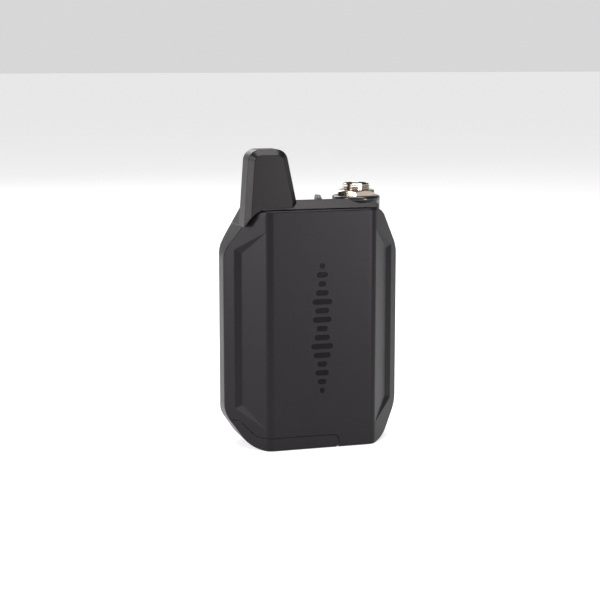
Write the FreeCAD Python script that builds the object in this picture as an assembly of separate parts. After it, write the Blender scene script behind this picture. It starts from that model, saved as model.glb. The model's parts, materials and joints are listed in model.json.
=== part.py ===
import FreeCAD, Part
import math
import os
from FreeCAD import Vector

os.makedirs("parts", exist_ok=True)

# A wireless bodypack transmitter, in millimetres.
# +Z is up, the front cover faces -Y, and the origin is under the middle of the whole object.
# Depths are counted from the front face of the centre panel towards the back.

# ---- casing, overall
body_width = 65.0          # across the two side walls
body_depth = 23.0          # centre panel to back wall
cover_height = 85.6        # base to the top edge of the front cover
cap_rise = 3.1             # the top cap stands this much above the front cover
wall = 1.4                 # shell thickness
seam = 0.12                # visible gap between neighbouring housings
edge_round = 0.7           # rounding on the cover's front rim

# ---- casing outline, seen from the front
top_chamfer_height = 15.3
top_chamfer_angle = 30.5   # from vertical
base_chamfer_height = 12.0
base_chamfer_angle = 34.0
base_corner_round = 9.0
side_corner_round = 11.0
top_corner_round = 7.0

# ---- casing section, seen from above
wing_reach = 13.1          # width of each sloping wing beside the flat centre panel
bend_round = 4.0
wing_angle = 45.3          # how far each wing turns back from the panel
rim_round = 1.0
back_round = 3.5
joint_depth = 13.6         # where the front cover meets the back housing

# ---- finger grip recess in each wing
grip_depth = 1.0
grip_edge = 3.1            # side wall to the outer edge of the sloping facet
grip_facet = 2.45          # width of that facet, down to the deepest line
grip_base_gap = 3.7        # above the base chamfer
grip_top_gap = 15.4        # below the cover's top edge
grip_end_angle = 40.0      # slope of its two ends, from vertical
grip_end_lead = 1.2        # how far the end facet leans outward

# ---- top cap and antenna tower
cap_drop = 5.8             # on the back half the cap comes down this far below the cover's top edge
cap_front_depth = 1.6
cap_slope_depth = 5.9
cap_ridge = 1.3            # thickness of the ridge along the cap's front
deck_drop = 1.7            # the deck behind the ridge lies this much lower
cap_inset = 2.1            # the ridge's ends stand in from the cover's corners
tower_rise = 21.1          # above the cover's top edge
tower_inset = 5.26         # left side wall to the tower's foot
tower_foot = 18.94         # width at the foot
tower_left_lean = 1.94     # how far each side leans in towards the tip
tower_right_lean = 3.8
tower_front_depth = 2.5
tower_thickness = 11.0
tower_corner_round = 4.2
tower_bevel = 1.9
tower_wall = 1.5

# ---- microphone jack
jack_inset = 15.9          # right side wall to the jack's axis
jack_board_gap = 0.6       # between the jack's tail and the circuit board
jack_thread_radius = 4.88
jack_neck = 0.68           # wall of the threaded neck
jack_shoulder_step = 0.72  # the tail is this much larger than the thread
jack_thread_pitch = 0.75
jack_thread_depth = 0.28
jack_length = 19.5
boss_radius = 8.5
boss_rise = 3.6
nut_rim = 1.57             # thread to the nut's flats
nut_thickness = 2.1
jack_proud = 2.4           # thread left above the nut
pin_circle_radius = 2.1
pin_radius = 0.5
jack_pin_sunk = 2.2        # pin tips below the jack's mouth

# ---- power switch and lamp
switch_x = 2.6
switch_depth = 12.4
switch_travel = 3.0
knob_width = 3.2
knob_thickness = 3.4
knob_rise = 4.3
knob_lean = 0.5
lamp_x = -5.4
lamp_radius = 0.9

# ---- port plate on the right side
plate_low = 31.0
plate_high = 54.4
plate_front_depth = 12.3
plate_width = 7.2
plate_thickness = 2.2
plate_gap = 0.18
port_z = 38.2
port_half_long = 4.45
port_half_short = 1.45
port_length = 7.2
port_skin = 0.3            # sheet thickness of the port's shell
button_z = 48.9
button_radius = 1.6
button_travel = 0.5
button_clearance = 0.08

# ---- battery, tray and door
battery_width = 28.0
battery_thickness = 9.8
battery_length = 48.0
battery_inset = 10.5       # left side wall to the battery
battery_low = 7.6
battery_fit = 0.3
tray_wall = 1.0
door_lip = 4.7
door_side_height = 9.9
door_side_run = 3.4        # level stretch of the door's edge on the side chamfer
door_edge_angle = 41.0     # the sloping stretch below it, from vertical
door_overlap = 0.4         # the door reaches past the battery by this much
door_corner_round = 2.0
door_gap = 0.16
hinge_radius = 1.6
hinge_pin_radius = 0.6
hinge_clearance = 0.05
knuckle_gap = 0.2

# ---- belt clip
clip_gap = 4.8
clip_thickness = 1.7
clip_width = 24.0
clip_low = 14.0
clip_pivot_drop = 19.6     # below the cover's top edge
clip_pivot_radius = 1.1
clip_barrel_wall = 0.8

# ---- screws and boards
screw_radius = 1.0
screw_head_radius = 1.9
screw_head_height = 1.1
post_radius = 2.0
post_inset = 5.7
post_low = 24.0
post_drop = 19.6           # upper posts, below the cover's top edge
board_depth = 5.2
board_thickness = 1.2
board_side_gap = 1.4       # the board is narrower than the centre panel by this on each side
board_low = 8.0
board_drop = 6.6           # below the cover's top edge
board_screw_radius = 0.8

# ---- worked out from the sizes above
half = body_width / 2
panel_half = half - wing_reach
grip_outer = half - grip_edge
grip_inner = grip_outer - grip_facet
grip_low = base_chamfer_height + grip_base_gap
grip_high = cover_height - grip_top_gap
cap_height = cover_height + cap_rise
cap_seam_height = cover_height - cap_drop
tower_height = cover_height + tower_rise
tower_left_base = tower_inset - half
tower_right_base = tower_left_base + tower_foot
tower_left_top = tower_left_base + tower_left_lean
tower_right_top = tower_right_base - tower_right_lean
boss_top = cover_height + boss_rise
knob_top = cover_height + knob_rise
top_recess_floor = cover_height
board_half = panel_half - board_side_gap
board_high = cover_height - board_drop
post_high = cover_height - post_drop
jack_x = half - jack_inset
jack_bore_radius = jack_thread_radius - jack_neck
jack_tail_radius = jack_thread_radius + jack_shoulder_step
jack_depth = board_depth + board_thickness + jack_board_gap + jack_tail_radius
nut_flats = 2 * (jack_thread_radius + nut_rim)
battery_left = battery_inset - half
door_right = battery_left + battery_width + door_overlap
clip_pivot_z = cover_height - clip_pivot_drop
clip_barrel_radius = clip_pivot_radius + clip_barrel_wall
total_depth = body_depth + clip_gap + clip_thickness
front = -total_depth / 2
side_high = cover_height - top_chamfer_height
top_run = math.tan(math.radians(top_chamfer_angle))
base_run = math.tan(math.radians(base_chamfer_angle))
wing_rise = math.tan(math.radians(wing_angle))
inner_depth = body_depth - wall
deck_height = cap_height - deck_drop
nodes = {}


def save(name, shape):
    """Keep one node, as a clean closed solid or group of solids."""
    nodes[name] = shape


def at(x, depth, z):
    return Vector(x, front + depth, z)


def box(x0, x1, d0, d1, z0, z1):
    return Part.makeBox(x1 - x0, d1 - d0, z1 - z0, at(x0, d0, z0))


def rod_z(x, depth, radius, z0, z1):
    return Part.makeCylinder(radius, z1 - z0, at(x, depth, z0), Vector(0, 0, 1))


def rod_y(x, z, radius, d0, d1):
    return Part.makeCylinder(radius, d1 - d0, at(x, d0, z), Vector(0, 1, 0))


def rod_x(depth, z, radius, x0, x1):
    return Part.makeCylinder(radius, x1 - x0, at(x0, depth, z), Vector(1, 0, 0))


def inset(corners, distances):
    """Move each edge of a counter-clockwise outline inwards by its own distance."""
    lines = []
    count = len(corners)
    for index in range(count):
        a = corners[index]
        b = corners[(index + 1) % count]
        length = math.hypot(b[0] - a[0], b[1] - a[1])
        run = ((b[0] - a[0]) / length, (b[1] - a[1]) / length)
        shift = distances[index]
        lines.append(((a[0] - run[1] * shift, a[1] + run[0] * shift), run))
    moved = []
    for index in range(count):
        (p, u), (q, v) = lines[index - 1], lines[index]
        cross = u[0] * v[1] - u[1] * v[0]
        step = ((q[0] - p[0]) * v[1] - (q[1] - p[1]) * v[0]) / cross
        radius = max(corners[index][2] - distances[index], 0.25)
        moved.append((p[0] + u[0] * step, p[1] + u[1] * step, radius))
    return moved


def rounded_wire(corners, place):
    """A closed wire through corners given as (a, b, corner radius)."""
    stops = []
    count = len(corners)
    for index in range(count):
        here = Vector(corners[index][0], corners[index][1], 0)
        to_last = (Vector(corners[index - 1][0], corners[index - 1][1], 0) - here).normalize()
        following = corners[(index + 1) % count]
        to_next = (Vector(following[0], following[1], 0) - here).normalize()
        radius = corners[index][2]
        if radius <= 0:
            stops.append((here, None, here))
            continue
        turn = to_last.getAngle(to_next)
        reach = radius / math.tan(turn / 2)
        middle = (to_last + to_next).normalize() * (radius / math.sin(turn / 2) - radius)
        stops.append((here + to_last * reach, here + middle, here + to_next * reach))
    edges = []
    for index in range(count):
        start, middle, end = stops[index]
        if middle is not None:
            edges.append(Part.Arc(place(start), place(middle), place(end)).toShape())
        onward = stops[(index + 1) % count][0]
        if (onward - end).Length > 1e-6:
            edges.append(Part.LineSegment(place(end), place(onward)).toShape())
    return Part.Wire(edges)


def prism_xz(corners, d0, d1):
    face = Part.Face(rounded_wire(corners, lambda p: at(p.x, d0, p.y)))
    return face.extrude(Vector(0, d1 - d0, 0))


def prism_xd(corners, z0, z1):
    face = Part.Face(rounded_wire(corners, lambda p: at(p.x, p.y, z0)))
    return face.extrude(Vector(0, 0, z1 - z0))


def prism_dz(corners, x0, x1):
    face = Part.Face(rounded_wire(corners, lambda p: at(x0, p.x, p.y)))
    return face.extrude(Vector(x1 - x0, 0, 0))


def stadium_x(depth, z0, z1, radius, x0, x1):
    """A plate with round ends, thin along X."""
    corners = [(depth - radius, z0, radius * 0.999), (depth + radius, z0, radius * 0.999),
               (depth + radius, z1, radius * 0.999), (depth - radius, z1, radius * 0.999)]
    return prism_dz(corners, x0, x1)


def join(*shapes):
    result = shapes[0]
    for shape in shapes[1:]:
        result = result.fuse(shape)
    return result.removeSplitter()


def cut(shape, *tools):
    result = shape
    for tool in tools:
        result = result.cut(tool)
    return result


# ---- the casing's envelope

def front_outline(top):
    top_half = half - (top - side_high) * top_run
    base_half = half - base_chamfer_height * base_run
    return [(-base_half, 0, base_corner_round), (base_half, 0, base_corner_round),
            (half, base_chamfer_height, side_corner_round), (half, side_high, side_corner_round),
            (top_half, top, top_corner_round), (-top_half, top, top_corner_round),
            (-half, side_high, side_corner_round), (-half, base_chamfer_height, side_corner_round)]


def section():
    rim_depth = (half - panel_half) * wing_rise
    return [(-panel_half, 0, bend_round), (panel_half, 0, bend_round), (half, rim_depth, rim_round),
            (half, body_depth, back_round), (-half, body_depth, back_round), (-half, rim_depth, rim_round)]


def envelope(top, shrink=0.0, wing_shrink=0.0):
    outline = front_outline(top)
    plan = section()
    if shrink:
        outline = inset(outline, [shrink] * len(outline))
        plan = inset(plan, [shrink, wing_shrink, shrink, shrink, shrink, wing_shrink])
    low = min(corner[1] for corner in outline)
    high = max(corner[1] for corner in outline)
    return prism_xz(outline, shrink, body_depth - shrink).common(prism_xd(plan, low, high))


def half_space(points, outward):
    """A large slab on the outward side of the plane through three points."""
    a, b, c = (at(*point) for point in points)
    normal = (b - a).cross(c - a).normalize()
    if normal.dot(outward) < 0:
        normal = normal * -1
    across = (b - a).normalize()
    size = 3 * body_width
    along = normal.cross(across)
    corner = a - across * size / 2 - along * size / 2
    face = Part.Face(Part.makePolygon([corner, corner + across * size, corner + across * size + along * size,
                                       corner + along * size, corner]))
    return face.extrude(normal * size)


def grip_cutter(side):
    """The shallow faceted finger recess of one wing; side is -1 or 1."""
    start = panel_half + bend_round * 0.2
    start_depth = (start - panel_half) * wing_rise
    deep = (grip_inner - panel_half) * wing_rise + grip_depth / math.cos(math.radians(wing_angle))
    facet_depth = (grip_outer - panel_half) * wing_rise
    far = half + 4
    beyond = facet_depth + (far - grip_outer) * (facet_depth - deep) / (grip_outer - grip_inner)
    corners = [(start, start_depth, 0), (start, -6, 0), (far, -6, 0), (far, beyond, 0),
               (grip_inner, deep, 0)]
    if side < 0:
        corners = [(-a, b, r) for a, b, r in reversed(corners)]
    cutter = prism_xd(corners, grip_low - 30, grip_high + 30)
    rise = (grip_inner - start) / math.tan(math.radians(grip_end_angle))
    for level, way in ((grip_high, 1), (grip_low, -1)):
        points = [(side * grip_inner, deep, level), (side * start, start_depth, level + way * rise),
                  (side * grip_outer, facet_depth, level + way * grip_end_lead)]
        cutter = cutter.cut(half_space(points, Vector(0, 0, way)))
    return cutter


cover_envelope = envelope(cover_height)
cap_envelope = envelope(cap_height)
grip_wall = wall + grip_depth
cover_hollow = envelope(cover_height, wall, grip_wall)
cap_hollow = envelope(cap_height, wall, grip_wall)


def rim_edges(shape, depth_limit):
    """The front rim: every edge on the front cover's outline that isn't upright."""
    found = []
    for edge in shape.Edges:
        middle = edge.valueAt((edge.FirstParameter + edge.LastParameter) / 2)
        ends = [vertex.Point for vertex in edge.Vertexes]
        upright = abs(ends[0].x - ends[-1].x) < 1e-4 and abs(ends[0].y - ends[-1].y) < 1e-4
        along_depth = abs(ends[0].x - ends[-1].x) < 1e-4 and abs(ends[0].z - ends[-1].z) < 1e-4
        if middle.y - front < depth_limit and not upright and not along_depth:
            found.append(edge)
    return found


# ---- battery door opening and its edge

def door_region(grow):
    """The part of the casing that belongs to the battery door, as a prism through the whole depth."""
    chamfer_x = half - (base_chamfer_height - door_side_height) * base_run
    high_x = -chamfer_x + door_side_run
    low_x = high_x + (door_side_height - door_lip) * math.tan(math.radians(door_edge_angle))
    outside = half + 5
    corners = [(-outside, -5, 0), (door_right, -5, 0), (door_right, door_lip, door_corner_round),
               (low_x, door_lip, 2.4), (high_x, door_side_height, 1.8), (-outside, door_side_height, 0)]
    return prism_xz(inset(corners, [-grow] * len(corners)), -1, body_depth + 1)


def plate_region(grow, x0, x1):
    middle = plate_front_depth + plate_width / 2
    radius = plate_width / 2 + grow
    return stadium_x(middle, plate_low - grow, plate_high + grow, radius, x0, x1)


casing = cover_envelope.makeFillet(edge_round, rim_edges(cover_envelope, joint_depth))
door_opening = door_region(door_gap / 2)
plate_opening = plate_region(plate_gap, half - 2 * plate_thickness, half + 1)
grips = [grip_cutter(-1), grip_cutter(1)]
outer_skin = cut(casing, *grips)
post_x = half - post_inset
posts = [(side * post_x, z) for side in (-1, 1) for z in (post_low, post_high)]
board_holes = [(side * (board_half - 2.4), z) for side in (-1, 1) for z in (board_low + 6, board_high - 9)]
post_end = inner_depth - screw_head_height - seam


def front_cover():
    shell = outer_skin.common(box(-half - 1, half + 1, -1, joint_depth - seam / 2, -1, cover_height + 1))
    shell = cut(shell, cover_hollow, door_opening, plate_opening)
    opening_half = half - top_chamfer_height * top_run - 3.4
    shell = shell.cut(box(-opening_half, opening_half, cap_front_depth + 2.8, joint_depth + 1,
                          cover_height - 2 * wall, cover_height + 1))
    jack_room = rod_z(jack_x, jack_depth, jack_tail_radius + 0.3, cover_height - 2 * wall, cover_height + 1)
    shell = shell.cut(jack_room)
    stand = [rod_y(x, z, post_radius, wall, post_end) for x, z in posts]
    stand += [rod_y(x, z, post_radius, wall / 2, board_depth) for x, z in board_holes]
    shell = join(shell, *[piece.common(outer_skin) for piece in stand])
    pilots = [rod_y(x, z, screw_radius, post_end - 6, post_end + 1) for x, z in posts]
    pilots += [rod_y(x, z, board_screw_radius, board_depth - 3, board_depth + 1) for x, z in board_holes]
    return cut(shell, *pilots)


def back_housing():
    back = box(-half - 1, half + 1, joint_depth + seam / 2, body_depth + 1, -1, cap_seam_height - seam)
    shell = cut(outer_skin.common(back), cover_hollow, door_opening, plate_opening)
    pads = [rod_y(x, z, screw_head_radius + 0.8, post_end + seam, body_depth - wall / 2) for x, z in posts]
    pads += [rod_y(0, z, post_radius, inner_depth - 2.2, body_depth - wall / 2) for z in clip_screw_z]
    shell = join(shell, *pads)
    holes = [rod_y(x, z, screw_radius + 0.05, post_end - 1, body_depth + 1) for x, z in posts]
    holes += [rod_y(x, z, screw_head_radius + 0.05, body_depth - screw_head_height, body_depth + 1)
              for x, z in posts]
    holes += [rod_y(0, z, screw_radius, inner_depth - 3, body_depth + 1) for z in clip_screw_z]
    return cut(shell, *holes)


clip_screw_z = (clip_pivot_z - 5.8, clip_pivot_z + 5.2)
save("front_cover", front_cover())
save("back_housing", back_housing())


# ---- top cap with its antenna tower

def tower_outline():
    return [(tower_left_base, cap_seam_height, 0), (tower_right_base, cap_seam_height, 0),
            (tower_right_base, cap_height, 0), (tower_right_top, tower_height, tower_corner_round),
            (tower_left_top, tower_height, tower_corner_round)]


def tower():
    back = tower_front_depth + tower_thickness
    solid = prism_xz(tower_outline(), tower_front_depth, back)
    bevelled = [edge for edge in solid.Edges
                if abs(edge.BoundBox.YLength) < 1e-6 and edge.BoundBox.ZMax > cap_seam_height + 1e-3]
    return solid.makeChamfer(tower_bevel, bevelled)


def tower_hollow():
    corners = inset(tower_outline(), [0] + [tower_bevel + 0.5] * 4)
    return prism_xz(corners, tower_front_depth + tower_wall, tower_front_depth + tower_thickness - tower_wall)


recess_half = 7.0
recess_front = switch_depth - 3.4
recess_back = switch_depth + 3.4
knob_slot_half = 1.0       # half the slot's width across the body


def top_cap():
    front_half = half - top_chamfer_height * top_run - cap_inset
    upper = box(-front_half, front_half, cap_front_depth, joint_depth + wall, cover_height + seam,
                cap_height + 1)
    rear = box(-half, half, joint_depth + seam / 2, body_depth + 1, cap_seam_height, cap_height + 1)
    shell = cap_envelope.common(upper.fuse(rear))
    slope = half_space([(0, cap_front_depth, cover_height), (5, cap_front_depth, cover_height),
                        (0, cap_slope_depth, cap_height)], Vector(0, -1, 0))
    shell = shell.cut(slope)
    behind_ridge = cap_slope_depth + cap_ridge
    shell = shell.cut(box(-half, half, behind_ridge, body_depth + 1, deck_height, cap_height + 1))
    shell = shell.cut(cap_hollow.common(box(-half, half, 0, body_depth, 0, deck_height - wall + 0.2)))
    boss = rod_z(jack_x, jack_depth, boss_radius, cover_height - 2, boss_top)
    top_edges = [edge for edge in boss.Edges if edge.BoundBox.ZMin > boss_top - 1e-6]
    boss = boss.makeFillet(0.8, top_edges)
    well = box(-recess_half - 1.2, recess_half + 1.2, recess_front - 1.2, recess_back + 1.2,
               top_recess_floor - 1.2, deck_height)
    over_cover = prism_xz(inset(front_outline(cover_height), [-seam] * 8), -1, joint_depth + seam / 2)
    stem = cut(join(tower(), boss), over_cover)
    shell = join(shell, stem, well)
    shell = cut(shell, tower_hollow(),
                rod_z(jack_x, jack_depth, jack_thread_radius + 0.1, cover_height - 5, boss_top + 1),
                rod_z(jack_x, jack_depth, jack_tail_radius + 0.15, cover_height - 5, jack_shoulder),
                box(-recess_half, recess_half, recess_front, recess_back, top_recess_floor, cap_height + 1),
                box(switch_x - switch_travel - knob_slot, switch_x + knob_slot, switch_depth - knob_slot_half,
                    switch_depth + knob_slot_half, top_recess_floor - 3, top_recess_floor + 1),
                rod_z(lamp_x, switch_depth, lamp_radius + 0.05, top_recess_floor - 3, top_recess_floor + 1))
    return shell


jack_shoulder = cover_height + 0.6
knob_slot = knob_width / 2 - 0.4
save("top_cap", top_cap())


# ---- antenna inside the tower

antenna_board_low = cap_seam_height + 0.6
antenna_board_high = tower_height - 5
antenna_loop_drops = (1.7, 3.7, 6.7, 9.7, 12.7, 15.7)
antenna_track = 0.15
antenna_middle = (tower_left_top + tower_right_top) / 2 + 1.7
antenna_half = 2.8
antenna_depth = tower_front_depth + tower_thickness / 2
save("antenna_board", box(antenna_middle - antenna_half, antenna_middle + antenna_half, antenna_depth - 0.4,
                          antenna_depth + 0.4, antenna_board_low, antenna_board_high))
antenna_face = antenna_depth - 0.4
loops = [box(antenna_middle - antenna_half + 0.6, antenna_middle + antenna_half - 0.6,
             antenna_face - antenna_track, antenna_face, antenna_board_high - drop,
             antenna_board_high - drop + 0.9) for drop in antenna_loop_drops]
spine = box(antenna_middle - 0.5, antenna_middle + 0.5, antenna_face - antenna_track, antenna_face,
            antenna_board_low + 0.5, antenna_board_high - 0.8)
save("antenna_trace", join(spine, *loops))
save("antenna_feed", box(antenna_middle + 1.4, antenna_middle + 2.6, board_depth + board_thickness,
                         antenna_depth + 1.0, board_high - 3, board_high - 1.8).fuse(
    box(antenna_middle + 1.4, antenna_middle + 2.6, antenna_depth + 0.4, antenna_depth + 1.0,
        board_high - 3, antenna_board_low + 2)).removeSplitter())

# ---- microphone jack

jack_high = boss_top + nut_thickness + jack_proud
jack_low = jack_high - jack_length


def jack_barrel():
    """A turned barrel with a threaded neck, a shoulder under the cap and an open mouth."""
    steps = [(jack_bore_radius, jack_low), (jack_tail_radius, jack_low), (jack_tail_radius, jack_shoulder)]
    root = jack_thread_radius - jack_thread_depth
    steps.append((root, jack_shoulder))
    steps.append((root, boss_top))
    turns = int((jack_high - 0.5 - boss_top) / jack_thread_pitch)
    for turn in range(turns):
        base = boss_top + turn * jack_thread_pitch
        steps.append((root, base + 0.15 * jack_thread_pitch))
        steps.append((jack_thread_radius, base + 0.45 * jack_thread_pitch))
        steps.append((jack_thread_radius, base + 0.7 * jack_thread_pitch))
        steps.append((root, base + jack_thread_pitch))
    steps.append((root, jack_high - 0.3))
    steps.append((root - 0.25, jack_high))
    steps.append((jack_bore_radius + 0.1, jack_high))
    steps.append((jack_bore_radius, jack_high - 0.15))
    points = [Vector(jack_x + r, front + jack_depth, z) for r, z in steps]
    profile = Part.Face(Part.makePolygon(points + points[:1]))
    barrel = profile.revolve(Vector(jack_x, front + jack_depth, 0), Vector(0, 0, 1), 360)
    keyway = box(jack_x - 0.75, jack_x + 0.75, jack_depth - jack_thread_radius - 1,
                 jack_depth - jack_thread_radius + 0.55, boss_top + nut_thickness, jack_high + 1)
    return barrel.cut(keyway)


def hex_nut():
    corners = []
    for step in range(6):
        angle = math.radians(60 * step + 12)
        reach = nut_flats / 2 / math.cos(math.pi / 6)
        corners.append((jack_x + reach * math.cos(angle), jack_depth + reach * math.sin(angle), 0.3))
    nut = prism_xd(corners, boss_top, boss_top + nut_thickness)
    reach = nut_flats / 2 / math.cos(math.pi / 6)
    cone = Part.makeCone(nut_flats / 2 - 0.1, reach + 1.6, 1.5, at(jack_x, jack_depth, 0), Vector(0, 0, -1))
    cone.translate(Vector(0, 0, boss_top + nut_thickness))
    keep = cone.fuse(rod_z(jack_x, jack_depth, reach + 1.6, boss_top - 1, boss_top + nut_thickness - 1.5))
    return nut.common(keep).cut(rod_z(jack_x, jack_depth, jack_thread_radius + 0.02, boss_top - 1, jack_high))


insert_low = jack_low + 1.5
insert_high = jack_high - 5.2
pin_places = [(jack_x + pin_circle_radius * math.cos(math.radians(a)),
               jack_depth + pin_circle_radius * math.sin(math.radians(a))) for a in (45, 135, 225, 315)]
save("jack_barrel", jack_barrel())
save("jack_nut", hex_nut())
insert = rod_z(jack_x, jack_depth, jack_bore_radius, insert_low, insert_high)
save("jack_insert", cut(insert, *[rod_z(x, d, pin_radius, insert_low - 1, insert_high + 1)
                                  for x, d in pin_places]))
save("jack_pins", Part.makeCompound([rod_z(x, d, pin_radius, jack_low - 2.2, jack_high - jack_pin_sunk)
                                     for x, d in pin_places]))
tail_board = rod_z(jack_x, jack_depth, jack_tail_radius, jack_low - 1.8, jack_low - 0.9)
save("jack_board", cut(tail_board, *[rod_z(x, d, pin_radius, jack_low - 3, jack_low) for x, d in pin_places]))

# ---- power switch and lamp

switch_top = top_recess_floor - 1.2 - 0.05
switch_low = switch_top - 4.5
knob_middle = switch_x - switch_travel / 2
switch_body = box(knob_middle - 5, knob_middle + 5, switch_depth - 2.2, switch_depth + 2.2,
                  switch_low, switch_top)
switch_slot = box(switch_x - switch_travel - knob_slot + 0.3, switch_x + knob_slot - 0.3, switch_depth - 0.9,
                  switch_depth + 0.9, switch_low + 1.5, switch_top + 1)
save("switch_body", switch_body.cut(switch_slot))


def switch_knob():
    """A ribbed thumb fin on a stem that slides in the switch."""
    stem = box(switch_x - knob_slot + 0.4, switch_x + knob_slot - 0.4, switch_depth - 0.8, switch_depth + 0.8,
               switch_low + 1.7, top_recess_floor + 0.3)
    base_half = knob_width / 2
    tip_half = base_half * 0.34
    foot = top_recess_floor + 0.15
    fin = [(switch_x - base_half, foot, 0), (switch_x + base_half, foot, 0),
           (switch_x + tip_half - knob_lean, knob_top, 0.3), (switch_x - tip_half - knob_lean, knob_top, 0.3)]
    return stem.fuse(prism_xz(fin, switch_depth - knob_thickness / 2,
                              switch_depth + knob_thickness / 2)).removeSplitter()


save("switch_knob", switch_knob())
lamp_stem = rod_z(lamp_x, switch_depth, lamp_radius, top_recess_floor - 2.2, top_recess_floor)
lamp_seat = at(lamp_x, switch_depth, top_recess_floor)
lamp_dome = Part.makeSphere(lamp_radius, lamp_seat, Vector(0, 0, 1), 0, 90, 360)
save("lamp_lens", lamp_stem.fuse(lamp_dome).removeSplitter())
save("lamp_diode", box(lamp_x - 0.8, lamp_x + 0.55, switch_depth - 0.8, switch_depth + 0.8,
                       top_recess_floor - 3.4, top_recess_floor - 2.25))
save("switch_board", box(lamp_x - 4.1, knob_middle + 6.0, switch_depth - 3, switch_depth + 3,
                         switch_low - 1.0, switch_low))

# ---- port plate, charging port and link button

plate_middle = plate_front_depth + plate_width / 2
plate_inner = half - plate_thickness
port_depth = plate_middle + 0.9
plate = outer_skin.common(plate_region(0, plate_inner, half + 1))
port_hole = [(port_depth - port_half_short - 0.1, port_z - port_half_long - 0.1, 1.4),
             (port_depth + port_half_short + 0.1, port_z - port_half_long - 0.1, 1.4),
             (port_depth + port_half_short + 0.1, port_z + port_half_long + 0.1, 1.4),
             (port_depth - port_half_short - 0.1, port_z + port_half_long + 0.1, 1.4)]
button_hole = rod_x(port_depth, button_z, button_radius + button_clearance, plate_inner - 1, half + 1)
save("port_plate", cut(plate, prism_dz(port_hole, plate_inner - 1, half + 1), button_hole))
port_x = half - 0.4
shell_outline = inset(port_hole, [0.12] * 4)
port_shell = prism_dz(shell_outline, port_x - port_length, port_x)
port_space = prism_dz(inset(shell_outline, [port_skin] * 4), port_x - port_length + 0.8, port_x + 1)
save("port_shell", port_shell.cut(port_space))
save("port_tongue", box(port_x - port_length + 0.8, port_x - 0.6, port_depth - 0.35, port_depth + 0.35,
                        port_z - 3.3, port_z + 3.3))
port_board_depth = port_depth + port_half_short + 0.15
button_outer = half - 0.15
button_flange = plate_inner - 0.05
button_end = button_flange - 0.9
save("link_button", rod_x(port_depth, button_z, button_radius, button_end, button_outer).fuse(
    rod_x(port_depth, button_z, button_radius + 0.6, button_end, button_flange)).removeSplitter())
tact_face = button_end - button_travel - 0.1
save("port_board", box(port_x - port_length - 3, tact_face, port_board_depth, port_board_depth + 0.8,
                       port_z - 6.5, button_z + 4))
save("link_switch", box(tact_face - 1.8, tact_face, port_depth - 1.6, port_board_depth, button_z - 1.8,
                        button_z + 1.8))

# ---- circuit board

board = box(-board_half, board_half, board_depth, board_depth + board_thickness, board_low, board_high)
board_cuts = [rod_y(x, z, board_screw_radius + 0.1, board_depth - 1, board_depth + 2) for x, z in board_holes]
save("main_board", cut(board, *board_cuts))
shield_high = 2.2
shield = box(-11, 11, board_depth - shield_high, board_depth, board_high - 32, board_high - 12)
shield_room = box(-10.7, 10.7, board_depth - shield_high + 0.3, board_depth, board_high - 31.7,
                  board_high - 12.3)
save("radio_shield", shield.cut(shield_room))
back_of_board = board_depth + board_thickness
save("radio_chip", box(-3.5, 3.5, board_depth - 1.0, board_depth, board_high - 27, board_high - 20))
save("audio_chip", box(8, 15, back_of_board, back_of_board + 1.0, board_high - 19, board_high - 12))
save("charger_chip", box(10, 14, back_of_board, back_of_board + 0.9, 36, 40))
save("crystal", box(-9.0, -5.8, board_depth - 0.9, board_depth, board_high - 25, board_high - 22.5))
small_parts = [box(x, x + 1.6, back_of_board, back_of_board + 0.8, z, z + 0.9)
               for x in (-12, -8, -4, 0) for z in (board_high - 18, board_high - 15, board_high - 12)]
save("board_capacitors", Part.makeCompound(small_parts))
board_link_x = 15.2
save("board_connector", box(board_link_x - 1.6, board_link_x + 1.6, back_of_board, back_of_board + 2.4,
                            44, 52))


def machine_screw(x, z, radius, head_radius, head_height, tip, seat):
    """A pan-head screw along the depth, seated at one depth and ending at another."""
    way = 1 if tip < seat else -1
    low, high = sorted((tip, seat))
    shank = rod_y(x, z, radius, low, high)
    head_low, head_high = sorted((seat, seat + way * head_height))
    head = rod_y(x, z, head_radius, head_low, head_high)
    slot_low, slot_high = sorted((seat + way * head_height * 0.45, seat + way * (head_height + 0.1)))
    arms = [box(x - head_radius * a, x + head_radius * a, slot_low, slot_high, z - head_radius * b,
                z + head_radius * b) for a, b in ((0.62, 0.13), (0.13, 0.62))]
    return cut(shank.fuse(head).removeSplitter(), *arms)


save("board_screws", Part.makeCompound([machine_screw(x, z, board_screw_radius, 1.45, 0.8, board_depth - 2.8,
                                                      back_of_board) for x, z in board_holes]))
save("case_screws", Part.makeCompound([machine_screw(x, z, screw_radius, screw_head_radius,
                                                     screw_head_height - 0.15, post_end - 5.5,
                                                     body_depth - screw_head_height) for x, z in posts]))

# ---- battery and its tray

battery_right = battery_left + battery_width
battery_high = battery_low + battery_length
battery_back = inner_depth - battery_fit
battery_front = battery_back - battery_thickness
cell = box(battery_left, battery_right, battery_front, battery_back, battery_low, battery_high)
upright = [edge for edge in cell.Edges if edge.BoundBox.ZLength > battery_length / 2]
save("battery_pack", cell.makeFillet(1.2, upright))
pad_middle = (battery_left + battery_right) / 2 - 1.2
pad_spots = [pad_middle + step * 3.2 for step in (-1.5, -0.5, 0.5, 1.5)]
contact_depth = (battery_front + battery_back) / 2
pad_rise = 0.1
save("battery_pads", Part.makeCompound([box(x - 1.1, x + 1.1, contact_depth - 1.8, contact_depth + 1.8,
                                            battery_high, battery_high + pad_rise) for x in pad_spots]))
tray_out = tray_wall + battery_fit
tray_top = battery_high + 0.5
tray = box(battery_left - tray_out, battery_right + tray_out, battery_front - tray_out, inner_depth - 0.05,
           battery_low - 0.4, tray_top + tray_wall)
tray_room = box(battery_left - battery_fit, battery_right + battery_fit, battery_front - battery_fit,
                inner_depth + 1, battery_low - 2, tray_top)
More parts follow.
